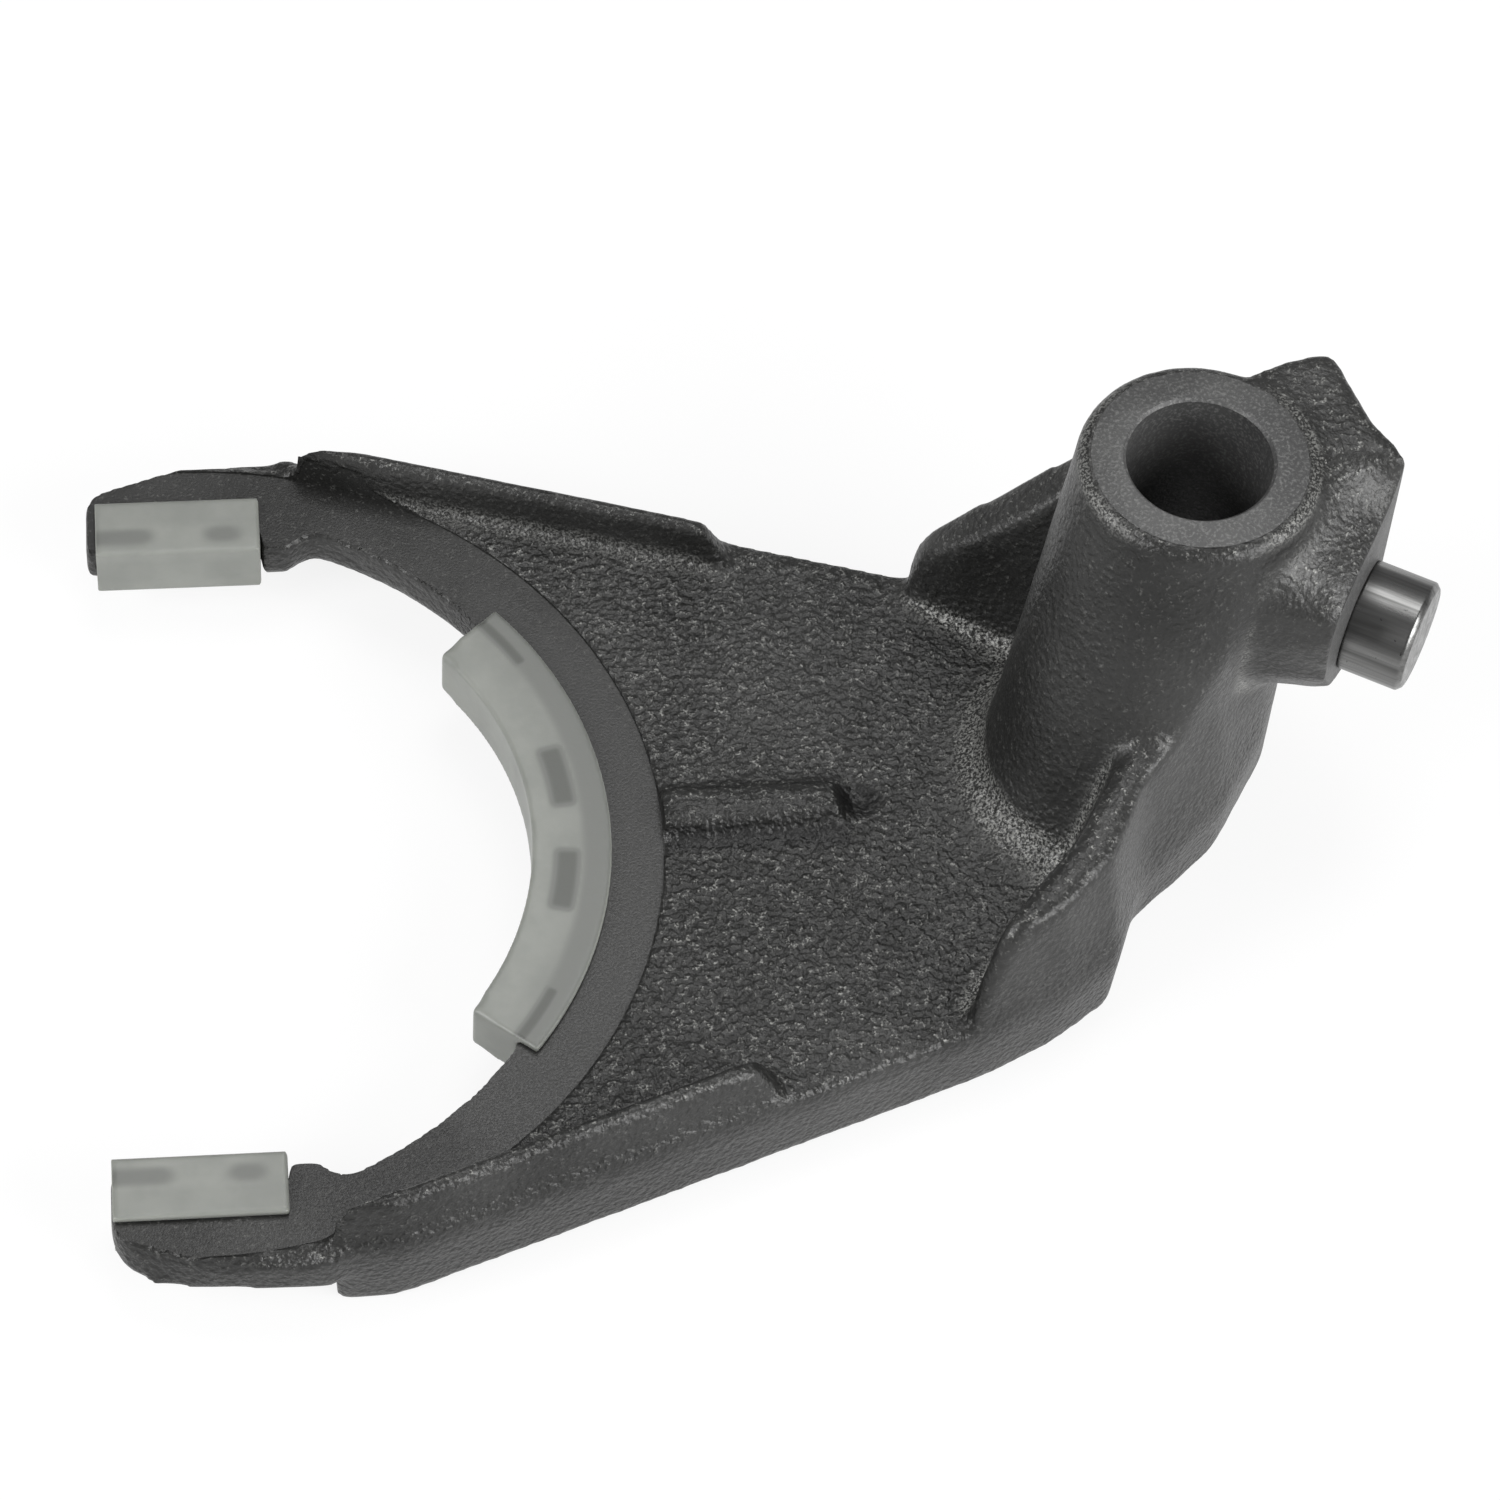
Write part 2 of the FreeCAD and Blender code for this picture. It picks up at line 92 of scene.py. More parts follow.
def newPiece(name, mesh):
    piece = bpy.data.objects.new(name, mesh)
    bpy.context.scene.collection.objects.link(piece)
    return piece


def copyOfNode(node, name):
    # The CAD mesh is loose triangles, so its copy is merged before anything else
    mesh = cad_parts[node].data.copy()
    mesh.name = name
    mesh.materials.clear()
    work = bmesh.new()
    work.from_mesh(mesh)
    bmesh.ops.remove_doubles(work, verts=work.verts, dist=1e-6)
    work.to_mesh(mesh)
    work.free()
    return newPiece(name, mesh)


def addRod(work, start, end, radius, segments=64):
    # A closed rod between two points, added to a bmesh
    along = end - start
    turn = along.to_track_quat("Z", "Y").to_matrix().to_4x4()
    place = Matrix.Translation((start + end) / 2) @ turn
    bmesh.ops.create_cone(work, cap_ends=True, segments=segments, radius1=radius, radius2=radius,
                          depth=along.length, matrix=place)


def bake(piece):
    # Applies every modifier and leaves a plain mesh
    graph = bpy.context.evaluated_depsgraph_get()
    mesh = bpy.data.meshes.new_from_object(piece.evaluated_get(graph), depsgraph=graph)
    piece.modifiers.clear()
    old = piece.data
    piece.data = mesh
    bpy.data.meshes.remove(old)
    return piece


def remesh(piece, voxel):
    modifier = piece.modifiers.new("skin", "REMESH")
    modifier.mode = "VOXEL"
    modifier.voxel_size = voxel
    modifier.adaptivity = 0.0
    return bake(piece)


def subtract(piece, cutter):
    modifier = piece.modifiers.new("cut", "BOOLEAN")
    modifier.operation = "DIFFERENCE"
    modifier.solver = "MANIFOLD"
    modifier.object = cutter
    bake(piece)
    old = cutter.data
    bpy.data.objects.remove(cutter)
    bpy.data.meshes.remove(old)
    return piece


class Skin:
    # A mesh's points and links as arrays, for smoothing that knows hollows from edges
    def __init__(self, mesh):
        self.mesh = mesh
        self.co = np.empty(len(mesh.vertices) * 3)
        mesh.vertices.foreach_get("co", self.co)
        self.co = self.co.reshape(-1, 3)
        links = np.empty(len(mesh.edges) * 2, int)
        mesh.edges.foreach_get("vertices", links)
        self.a, self.b = links.reshape(-1, 2).T
        self.count = len(self.co)
        ends = np.concatenate((self.a, self.b))
        self.degree = np.maximum(np.bincount(ends, minlength=self.count), 1)

    def neighbourMean(self, values):
        total = np.zeros_like(values)
        for axis in range(values.shape[1]):
            total[:, axis] = (np.bincount(self.a, values[self.b, axis], self.count)
                              + np.bincount(self.b, values[self.a, axis], self.count))
        return total / self.degree[:, None]

    def normals(self):
        self.mesh.vertices.foreach_set("co", self.co.ravel())
        self.mesh.update()
        flat = np.empty(self.count * 3, np.float32)
        self.mesh.vertex_normals.foreach_get("vector", flat)
        return flat.reshape(-1, 3).astype(float)

    def relax(self, rounds, weight=1.0):
        for _ in range(rounds):
            for step in (0.5, -0.35):
                self.co += np.reshape(weight * step, (-1, 1)) * (self.neighbourMean(self.co) - self.co)

    def fillHollows(self, rounds, weight):
        # Grows the fillets: only points that lie below their neighbours move, and only outwards
        normal = self.normals()
        for turn in range(rounds):
            if turn % 6 == 0:
                normal = self.normals()
            lift = ((self.neighbourMean(self.co) - self.co) * normal).sum(1)
            self.co += (weight * 0.5 * np.maximum(lift, 0))[:, None] * normal

    def store(self):
        self.mesh.vertices.foreach_set("co", self.co.ravel())
        self.mesh.update()


def fade(value, low, high):
    t = np.clip((value - low) / (high - low), 0, 1)
    return t * t * (3 - 2 * t)


def window(value, low, high, soft):
    return fade(value, low - soft, low + soft) * (1 - fade(value, high - soft, high + soft))


def setFloat(mesh, name, values):
    layer = mesh.attributes.get(name) or mesh.attributes.new(name, "FLOAT", "POINT")
    layer.data.foreach_set("value", np.asarray(values, np.float32))


def pinFrame():
    c = casting
    along = Vector((math.cos(c["pinAngle"]), math.sin(c["pinAngle"]), 0))
    across = Vector((-along.y, along.x, 0))
    root = across * c["pinSide"] + Vector((0, 0, c["pinHeight"]))
    return root, along, across


# Node helpers for the materials


def newMaterial(name):
    material = bpy.data.materials.new(name)
    material.use_nodes = True
    tree = material.node_tree
    return material, tree, tree.nodes["Principled BSDF"]


def link(tree, source, target):
    tree.links.new(source, target)


def addNode(tree, kind, **settings):
    node = tree.nodes.new(kind)
    for key, value in settings.items():
        setattr(node, key, value)
    return node


def noiseNode(tree, vector, scale, detail=2.0, roughness=0.5, distortion=0.0):
    node = addNode(tree, "ShaderNodeTexNoise")
    link(tree, vector, node.inputs["Vector"])
    node.inputs["Scale"].default_value = scale
    node.inputs["Detail"].default_value = detail
    node.inputs["Roughness"].default_value = roughness
    node.inputs["Distortion"].default_value = distortion
    return node.outputs["Fac"]


def rangeNode(tree, value, low, high, toLow=0.0, toHigh=1.0):
    node = addNode(tree, "ShaderNodeMapRange", interpolation_type="SMOOTHSTEP")
    link(tree, value, node.inputs["Value"])
    node.inputs["From Min"].default_value = low
    node.inputs["From Max"].default_value = high
    node.inputs["To Min"].default_value = toLow
    node.inputs["To Max"].default_value = toHigh
    return node.outputs["Result"]


def mathNode(tree, operation, a, b):
    node = addNode(tree, "ShaderNodeMath", operation=operation)
    for socket, value in zip(node.inputs, (a, b)):
        if isinstance(value, (int, float)):
            socket.default_value = value
        else:
            link(tree, value, socket)
    return node.outputs[0]


def mixColour(tree, factor, a, b):
    node = addNode(tree, "ShaderNodeMix", data_type="RGBA")
    factorSocket, aSocket, bSocket = node.inputs[0], node.inputs[6], node.inputs[7]
    if isinstance(factor, float):
        factorSocket.default_value = factor
    else:
        link(tree, factor, factorSocket)
    for socket, value in ((aSocket, a), (bSocket, b)):
        if isinstance(value, tuple):
            socket.default_value = (*value, 1.0)
        else:
            link(tree, value, socket)
    return node.outputs[2]


def bumpNode(tree, height, distance, strength=1.0, normal=None):
    node = addNode(tree, "ShaderNodeBump")
    node.inputs["Strength"].default_value = strength
    node.inputs["Distance"].default_value = distance
    link(tree, height, node.inputs["Height"])
    if normal is not None:
        link(tree, normal, node.inputs["Normal"])
    return node.outputs["Normal"]


iron = {
    "dark": (0.0135, 0.0135, 0.0128),
    "light": (0.027, 0.027, 0.026),
    "paintedGlint": (0.30, 0.30, 0.285),
    "paintedShade": (0.004, 0.004, 0.004),
    "faced": (0.031, 0.031, 0.030),
    "roughness": 0.42,
    "grainPerMetre": 1500.0,
    "cellPerMetre": 1250.0,
    "finePerMetre": 3600.0,
    "grainBump": 0.26 * mm,
    "cellBump": 0.16 * mm,
    "fineBump": 0.07 * mm,
    "facedFrom": -50.0,
    "facedTo": 43.0,
    "wornFrom": -2.0,
    "wornTo": 40.0,
    "wornWidth": 3.2 * mm,
}


def landMask(tree, place, wobble):
    # 1 where the ring land was faced: inside its radius and between two headings from the throat
    c = casting
    offset = addNode(tree, "ShaderNodeVectorMath", operation="SUBTRACT")
    link(tree, place, offset.inputs[0])
    offset.inputs[1].default_value = c["throat"]
    parts = addNode(tree, "ShaderNodeSeparateXYZ")
    link(tree, offset.outputs[0], parts.inputs[0])
    flat = addNode(tree, "ShaderNodeCombineXYZ")
    link(tree, parts.outputs[0], flat.inputs[0])
    link(tree, parts.outputs[1], flat.inputs[1])
    reach = addNode(tree, "ShaderNodeVectorMath", operation="LENGTH")
    link(tree, flat.outputs[0], reach.inputs[0])
    turned = mathNode(tree, "ARCTAN2", parts.outputs[1], parts.outputs[0])
    heading = mathNode(tree, "MULTIPLY", turned, 180 / math.pi)
    ragged = mathNode(tree, "ADD", heading, mathNode(tree, "MULTIPLY", wobble, 4.0))
    worn = rangeNode(tree, heading, iron["wornFrom"], iron["wornTo"], 0.0, iron["wornWidth"])
    unevenly = mathNode(tree, "ADD", 0.7, mathNode(tree, "MULTIPLY", wobble, 0.6))
    worn = mathNode(tree, "MULTIPLY", worn, unevenly)
    edge = mathNode(tree, "ADD", reach.outputs["Value"], worn)
    inside = rangeNode(tree, edge, c["landRadius"] - 0.15 * mm, c["landRadius"] + 0.3 * mm, 1.0, 0.0)
    before = rangeNode(tree, ragged, iron["facedTo"], iron["facedTo"] + 5, 1.0, 0.0)
    after = rangeNode(tree, ragged, iron["facedFrom"] - 6, iron["facedFrom"])
    return mathNode(tree, "MULTIPLY", mathNode(tree, "MULTIPLY", inside, before), after)


def castIronMaterial():
    # Shot-blasted skin: an orange-peel grain with painted glints on its tips, stronger on faces that look
    # up, and most of all in the hollows, on the hub rim and on the foot's band
    material, tree, shader = newMaterial("castIron")
    place = addNode(tree, "ShaderNodeTexCoord").outputs["Object"]
    grain = noiseNode(tree, place, iron["grainPerMetre"], 1.5, 0.5)
    fine = noiseNode(tree, place, iron["finePerMetre"], 2.0, 0.6)
    broad = noiseNode(tree, place, 60.0, 3.0, 0.5)
    cells = addNode(tree, "ShaderNodeTexVoronoi", feature="SMOOTH_F1")
    cells.inputs["Scale"].default_value = iron["cellPerMetre"]
    cells.inputs["Smoothness"].default_value = 0.35
    link(tree, place, cells.inputs["Vector"])
    dome = mathNode(tree, "SUBTRACT", 1.0, cells.outputs["Distance"])
    hollow = addNode(tree, "ShaderNodeAttribute", attribute_name="hollow").outputs["Fac"]
    wobble = rangeNode(tree, noiseNode(tree, place, 900.0, 2.0, 0.6), 0.38, 0.64)
    faced = landMask(tree, place, wobble)
    skin = mathNode(tree, "SUBTRACT", 1.0, faced)
    body = mixColour(tree, rangeNode(tree, broad, 0.35, 0.65), iron["dark"], iron["light"])
    tips = rangeNode(tree, grain, 0.50, 0.72)
    sparkle = rangeNode(tree, fine, 0.46, 0.66)
    level = addNode(tree, "ShaderNodeAttribute", attribute_name="level").outputs["Fac"]
    paintedShade = addNode(tree, "ShaderNodeAttribute", attribute_name="paintedShade").outputs["Fac"]
    # Painted glints: bright specks on the grain's tips, stronger on faces that look up
    onTop = rangeNode(tree, level, 0.0, 1.0, 0.22, 0.8)
    tipGlints = mathNode(tree, "MULTIPLY", mathNode(tree, "MULTIPLY", tips, sparkle), onTop)
    # Painted highlights in the hollows, on the hub rim and on the foot's band
    glintsByPlace = mathNode(tree, "MULTIPLY", hollow, rangeNode(tree, fine, 0.45, 0.60))
    amount = mathNode(tree, "MAXIMUM", tipGlints, mathNode(tree, "MULTIPLY", glintsByPlace, 0.75))
    colour = mixColour(tree, mathNode(tree, "MULTIPLY", amount, skin), body, iron["paintedGlint"])
    colour = mixColour(tree, mathNode(tree, "MULTIPLY", faced, 0.85), colour, iron["faced"])
    # Painted shadow beside the middle rib and painted shade in the sink mark
    colour = mixColour(tree, paintedShade, colour, iron["paintedShade"])
    link(tree, colour, shader.inputs["Base Color"])
    shader.inputs["Metallic"].default_value = 0.3
    shader.inputs["Specular IOR Level"].default_value = 0.6
    link(tree, rangeNode(tree, fine, 0.3, 0.7, iron["roughness"] - 0.10, iron["roughness"] + 0.08),
         shader.inputs["Roughness"])
    coarse = addNode(tree, "ShaderNodeAttribute", attribute_name="coarse").outputs["Fac"]
    strength = mathNode(tree, "MULTIPLY", coarse, skin)
    waved = bumpNode(tree, mathNode(tree, "MULTIPLY", grain, strength), iron["grainBump"])
    domed = bumpNode(tree, mathNode(tree, "MULTIPLY", dome, strength), iron["cellBump"], 1.0, waved)
    link(tree, bumpNode(tree, fine, iron["fineBump"], 0.6, domed), shader.inputs["Normal"])
    return material


worked = {"dark": (0.052, 0.052, 0.052), "light": (0.074, 0.074, 0.073), "speck": (0.20, 0.20, 0.195)}


def workedIronMaterial():
    # Faced and bored surfaces: finer and more even than the skin
    material, tree, shader = newMaterial("workedIron")
    place = addNode(tree, "ShaderNodeTexCoord").outputs["Object"]
    fine = noiseNode(tree, place, 2600.0, 3.0, 0.6)
    broad = noiseNode(tree, place, 90.0, 2.0, 0.5)
    body = mixColour(tree, rangeNode(tree, broad, 0.35, 0.65), worked["dark"], worked["light"])
    specks = mathNode(tree, "MULTIPLY", rangeNode(tree, fine, 0.46, 0.70), 0.5)
    colour = mixColour(tree, specks, body, worked["speck"])
    link(tree, colour, shader.inputs["Base Color"])
    shader.inputs["Metallic"].default_value = 0.2
    shader.inputs["Roughness"].default_value = 0.5
    link(tree, bumpNode(tree, fine, 0.08 * mm), shader.inputs["Normal"])
    return material


nylonColours = {
    "clear": (0.225, 0.233, 0.214),
    "cloudy": (0.196, 0.204, 0.188),
    "thin": (0.135, 0.140, 0.130),
    "metalBehind": (0.075, 0.078, 0.071),
}


def nylonMaterial():
    # Natural nylon: milky where it is thick, and darker by painted shade where metal lies behind it, as the
    # attribute says
    material, tree, shader = newMaterial("nylon")
    place = addNode(tree, "ShaderNodeTexCoord").outputs["Object"]
    shadeBehind = addNode(tree, "ShaderNodeAttribute", attribute_name="shadeBehind").outputs["Fac"]
    cloud = noiseNode(tree, place, 220.0, 3.0, 0.55)
    fine = noiseNode(tree, place, 2400.0, 2.0, 0.5)
    clear = mixColour(tree, rangeNode(tree, cloud, 0.3, 0.7), nylonColours["clear"], nylonColours["cloudy"])
    half = mixColour(tree, rangeNode(tree, shadeBehind, 0.0, 0.5), clear, nylonColours["thin"])
    full = mixColour(tree, rangeNode(tree, shadeBehind, 0.5, 1.0), half, nylonColours["metalBehind"])
    link(tree, full, shader.inputs["Base Color"])
    shader.inputs["Roughness"].default_value = 0.42
    shader.inputs["Subsurface Weight"].default_value = 0.25
    shader.inputs["Subsurface Radius"].default_value = (1.0, 1.0, 0.8)
    shader.inputs["Subsurface Scale"].default_value = 0.8 * mm
    link(tree, bumpNode(tree, fine, 0.012 * mm), shader.inputs["Normal"])
    return material


steel = {"clean": (0.21, 0.21, 0.207), "streak": (0.10, 0.10, 0.098), "pit": (0.05, 0.05, 0.05)}


def groundSteelMaterial():
    # Ground pin with faint lines along it and a few fine pits
    material, tree, shader = newMaterial("groundSteel")
    place = addNode(tree, "ShaderNodeTexCoord").outputs["Object"]
    turned = addNode(tree, "ShaderNodeVectorRotate", rotation_type="Z_AXIS")
    turned.inputs["Angle"].default_value = -casting["pinAngle"]
    link(tree, place, turned.inputs["Vector"])
    drawn = addNode(tree, "ShaderNodeVectorMath", operation="MULTIPLY")
    link(tree, turned.outputs[0], drawn.inputs[0])
    drawn.inputs[1].default_value = (0.04, 1, 1)
    pits = noiseNode(tree, place, 1500.0, 2.0, 0.6)
    streaks = noiseNode(tree, drawn.outputs[0], 900.0, 3.0, 0.6)
    clean = mixColour(tree, rangeNode(tree, streaks, 0.3, 0.7), steel["clean"], steel["streak"])
    colour = mixColour(tree, rangeNode(tree, pits, 0.70, 0.76), clean, steel["pit"])
    link(tree, colour, shader.inputs["Base Color"])
    shader.inputs["Metallic"].default_value = 1.0
    link(tree, rangeNode(tree, streaks, 0.3, 0.7, 0.26, 0.36), shader.inputs["Roughness"])
    return material


# The casting: a rough blank grown from the CAD solid, then faced and bored like the real one


def roughBlank():
    c = casting
    piece = copyOfNode("fork_casting", "forkCasting")
    root, along, across = pinFrame()
    work = bmesh.new()
    work.from_mesh(piece.data)
    addRod(work, Vector((0, 0, 0.0)), Vector((0, 0, c["hubTop"])), c["boreRadius"] + 0.7 * mm)
    addRod(work, root + along * 6 * mm, root + along * c["earFace"], c["pinHole"] + 0.7 * mm)
    work.to_mesh(piece.data)
    work.free()
    return remesh(piece, c["voxel"])


def softenBlank(skin):
    # Rounds the edges and the walls' crests, then grows the fillets, most of all round the hub
    c = casting
    skin.relax(c["edgeRounds"])
    x, y, z = skin.co.T
    upright = fade(z, *c["wallRise"]) * fade(np.hypot(x, y), *c["wallReach"])
    skin.relax(c["crestRounds"], upright)
    x, y, z = skin.co.T
    hubZone = 1 - fade(np.hypot(x - c["hubZone"][0], y - c["hubZone"][1]), *c["hubZoneReach"])
    skin.fillHollows(c["hollowRounds"], 0.12 + 0.88 * hubZone)
    skin.relax(2)


def addStock(skin):
    # Lands, hub face and pin face stand a little proud, for the machining cuts
    c = casting
    x, y, z = skin.co.T
    reach = np.hypot(x - c["throat"].x, y - c["throat"].y)
    inLand = 1 - fade(reach, c["landRadius"] + 0.3 * mm, c["landRadius"] + 1.2 * mm)
    normal = skin.normals()
    up = fade(normal[:, 2], 0.5, 0.9) * inLand * (z < c["webTop"] + 0.3 * mm)
    down = fade(-normal[:, 2], 0.5, 0.9) * inLand * (z > c["webBottom"] - 0.3 * mm)
    skin.co[:, 2] += up * np.maximum(c["webTop"] - z, 0)
    skin.co[:, 2] -= down * np.maximum(z - c["webBottom"], 0)
    onHub = 1 - fade(np.hypot(x, y), c["hubRadius"] - 2.4 * mm, c["hubRadius"] - 1.4 * mm)
    skin.co[:, 2] += c["stock"] * onHub * fade(z, c["hubTop"] - 1.2 * mm, c["hubTop"] - 0.3 * mm)
    root, along, across = pinFrame()
    distance = skin.co @ np.array(along)
    push = c["stock"] * fade(distance, c["earFace"] - 1.0 * mm, c["earFace"] - 0.2 * mm)
    skin.co += push[:, None] * np.array(along)


# Places of the painted highlights and painted shade in mm, where along and across count from the throat's
# centre
marks = {
    "rimReach": (12.1, 13.3),
    "rimSides": (0.988, -0.154),
    "bandHeight": (11.9, 15.2),
    "bandReach": (12.5, 18.8),
    "bandAlong": (-99.0, -95.0),
    "ribAlong": (46.0, 77.0),
    "ribAcross": (-5.0, 8.0),
    "ribTop": (14.5, 16.0),
    "tineAlong": (62.0, 68.0),
    "shadowAlong": (51.6, 72.5),
    "shadowAcross": (-3.5, -0.9),
    "shadowTop": 14.2,
    "sink": (73.6, 2.4),
    "sinkReach": (1.8, 2.8),
    "sinkTop": 14.0,
    "calmFrom": (13.5, 19.0),
}


def markSkin(skin):
    # Attributes that the skin's material reads: places of painted highlights (hollows, hub rim, foot band),
    # tops for the painted glints, coarseness and painted shade
    c, m = casting, marks
    normal = skin.normals()
    wide = skin.co.copy()
    for _ in range(c["sampleRounds"]):
        wide = skin.neighbourMean(wide)
    lift = ((wide - skin.co) * normal).sum(1)
    x, y, z = skin.co.T
    height = z / mm
    along, across = (x - c["throat"].x) / mm, (y - c["throat"].y) / mm
    # Painted highlights: in the fillets by their shape, and on the rim and the foot's band by their place
    reach = np.hypot(x, y)
    sideways = np.abs(x * m["rimSides"][0] + y * m["rimSides"][1]) / reach
    rim = window(reach / mm, *m["rimReach"], 0.35)
    rim *= fade(z, c["hubTop"] - 2.2 * mm, c["hubTop"] - 1.2 * mm) * fade(sideways, 0.45, 0.8)
    fromFoot = np.hypot(x - c["foot"].x, y - c["foot"].y) / mm
    band = window(height, *m["bandHeight"], 0.35) * window(fromFoot, *m["bandReach"], 0.5)
    band *= fade(-along, *m["bandAlong"])
    onRib = window(along, *m["ribAlong"], 1.0) * window(across, *m["ribAcross"], 1.0)
    onRib *= 1 - fade(height, *m["ribTop"])
    onTine = 1 - fade(along, *m["tineAlong"])
    hollow = fade(lift, *c["hollowLift"]) * (1 - onRib) * (1 - 0.6 * onTine)
    setFloat(skin.mesh, "hollow", np.maximum.reduce([hollow, 0.85 * band, 0.75 * rim]))
    setFloat(skin.mesh, "level", fade(normal[:, 2], 0.45, 0.95))
    setFloat(skin.mesh, "coarse", 1 - 0.55 * fade(height, *m["calmFrom"]))
    # Painted shade: the shadow line beside the middle rib, and the depth of the sink mark
    shaded = window(along, *m["shadowAlong"], 0.4) * window(across, *m["shadowAcross"], 0.5)
    shaded *= height < m["shadowTop"]
    sink = 1 - fade(np.hypot(along - m["sink"][0], across - m["sink"][1]), *m["sinkReach"])
    setFloat(skin.mesh, "paintedShade", np.maximum(0.85 * shaded, 0.75 * sink * (height < m["sinkTop"])))


def dressBlank(piece):
    skin = Skin(piece.data)
    softenBlank(skin)
    addStock(skin)
    skin.store()
    markSkin(skin)
    return piece


def grainTree():
    # Moves the skin in and out along its normals with two sizes of noise
    tree = bpy.data.node_groups.new("castSkin", "GeometryNodeTree")
    face = tree.interface
    face.new_socket("Geometry", in_out="INPUT", socket_type="NodeSocketGeometry")
    names = {}
    for label in ("Grain size", "Grain height", "Lump size", "Lump height"):
        names[label] = face.new_socket(label, in_out="INPUT", socket_type="NodeSocketFloat").identifier
    face.new_socket("Geometry", in_out="OUTPUT", socket_type="NodeSocketGeometry")
    start = tree.nodes.new("NodeGroupInput")
    finish = tree.nodes.new("NodeGroupOutput")
    place = tree.nodes.new("GeometryNodeInputPosition").outputs[0]
    normal = tree.nodes.new("GeometryNodeInputNormal").outputs[0]

    def wave(size, height, seed):
        divide = addNode(tree, "ShaderNodeMath", operation="DIVIDE")
        divide.inputs[0].default_value = 1.0
        link(tree, start.outputs[size], divide.inputs[1])
        noise = addNode(tree, "ShaderNodeTexNoise", noise_dimensions="4D")
        link(tree, place, noise.inputs["Vector"])
        noise.inputs["W"].default_value = seed
        link(tree, divide.outputs[0], noise.inputs["Scale"])
        noise.inputs["Detail"].default_value = 2.0
        centred = mathNode(tree, "SUBTRACT", noise.outputs["Fac"], 0.5)
        return mathNode(tree, "MULTIPLY", centred, start.outputs[height])

    grain = wave("Grain size", "Grain height", 3.7)
    lumps = wave("Lump size", "Lump height", 9.2)
    total = mathNode(tree, "ADD", grain, lumps)
    scale = addNode(tree, "ShaderNodeVectorMath", operation="SCALE")
    link(tree, normal, scale.inputs[0])
    link(tree, total, scale.inputs["Scale"])
    move = tree.nodes.new("GeometryNodeSetPosition")
    link(tree, start.outputs["Geometry"], move.inputs["Geometry"])
    link(tree, scale.outputs[0], move.inputs["Offset"])
    real = tree.nodes.new("GeometryNodeRealizeInstances")
    link(tree, move.outputs[0], real.inputs[0])
    paint = tree.nodes.new("GeometryNodeSetMaterial")
    paint.inputs["Material"].default_value = materials["castIron"]
    link(tree, real.outputs[0], paint.inputs["Geometry"])
    link(tree, paint.outputs[0], finish.inputs[0])
    return tree, names


def grainSkin(piece):
    tree, names = grainTree()
    modifier = piece.modifiers.new("castSkin", "NODES")
    modifier.node_group = tree
    modifier[names["Grain size"]] = casting["grainSize"]
    modifier[names["Grain height"]] = casting["grainHeight"] * 2
    modifier[names["Lump size"]] = casting["lumpSize"]
    modifier[names["Lump height"]] = casting["lumpHeight"] * 2
    return bake(piece)


def cutterFrom(work, name):
    mesh = bpy.data.meshes.new(name)
    bmesh.ops.recalc_face_normals(work, faces=work.faces)
    work.to_mesh(mesh)
    work.free()
    cutter = newPiece(name, mesh)
    cutter.hide_render = True
    return cutter


def machine(piece):
    c = casting
    root, along, across = pinFrame()
    far = 12 * mm
    faces = bmesh.new()
    axis = Vector((0, 0, 1))
    land = c["throat"]
    addRod(faces, land + axis * c["landTop"], land + axis * 3 * far, c["landRadius"], 360)
    addRod(faces, land + axis * c["landBottom"], land - axis * far, c["landRadius"], 360)
    addRod(faces, axis * c["hubTop"], axis * (c["hubTop"] + far), c["hubRadius"] + 3 * mm, 64)
    addRod(faces, -axis * far, axis * 0.0, c["hubRadius"] + 6 * mm, 64)
    addRod(faces, root + along * c["earFace"], root + along * (c["earFace"] + far), 40 * mm, 48)
    subtract(piece, cutterFrom(faces, "facing"))
    holes = bmesh.new()
    chamfer = c["boreChamfer"]
    radius, top = c["boreRadius"], c["hubTop"]
    wide = radius + chamfer + far
    profile = [(0, -far), (wide, -far), (radius, chamfer), (radius, top - chamfer),
               (wide, top + far), (0, top + far)]
    addLathe(holes, profile, Matrix.Identity(4), 128)
    bottom = root + along * (c["earFace"] - pin["sunk"] - c["pinGap"])
    addRod(holes, bottom, root + along * (c["earFace"] + far), c["pinHole"], 96)
    subtract(piece, cutterFrom(holes, "boring"))
    return piece


def addLathe(work, profile, place, segments):
    # Turns a profile of (radius, height) about the place's Z axis, closed on the axis
    rings = []
    for radius, height in profile:
        if radius <= 0:
            rings.append([work.verts.new(place @ Vector((0, 0, height)))])
            continue
        ring = []
        for i in range(segments):
            turn = 2 * math.pi * i / segments
            point = Vector((radius * math.cos(turn), radius * math.sin(turn), height))
            ring.append(work.verts.new(place @ point))
        rings.append(ring)
    for low, high in zip(rings, rings[1:]):
        for i in range(segments):
            j = (i + 1) % segments
            corners = [low[i % len(low)], low[j % len(low)], high[j % len(high)], high[i % len(high)]]
            unique = list(dict.fromkeys(corners))
            work.faces.new(unique)


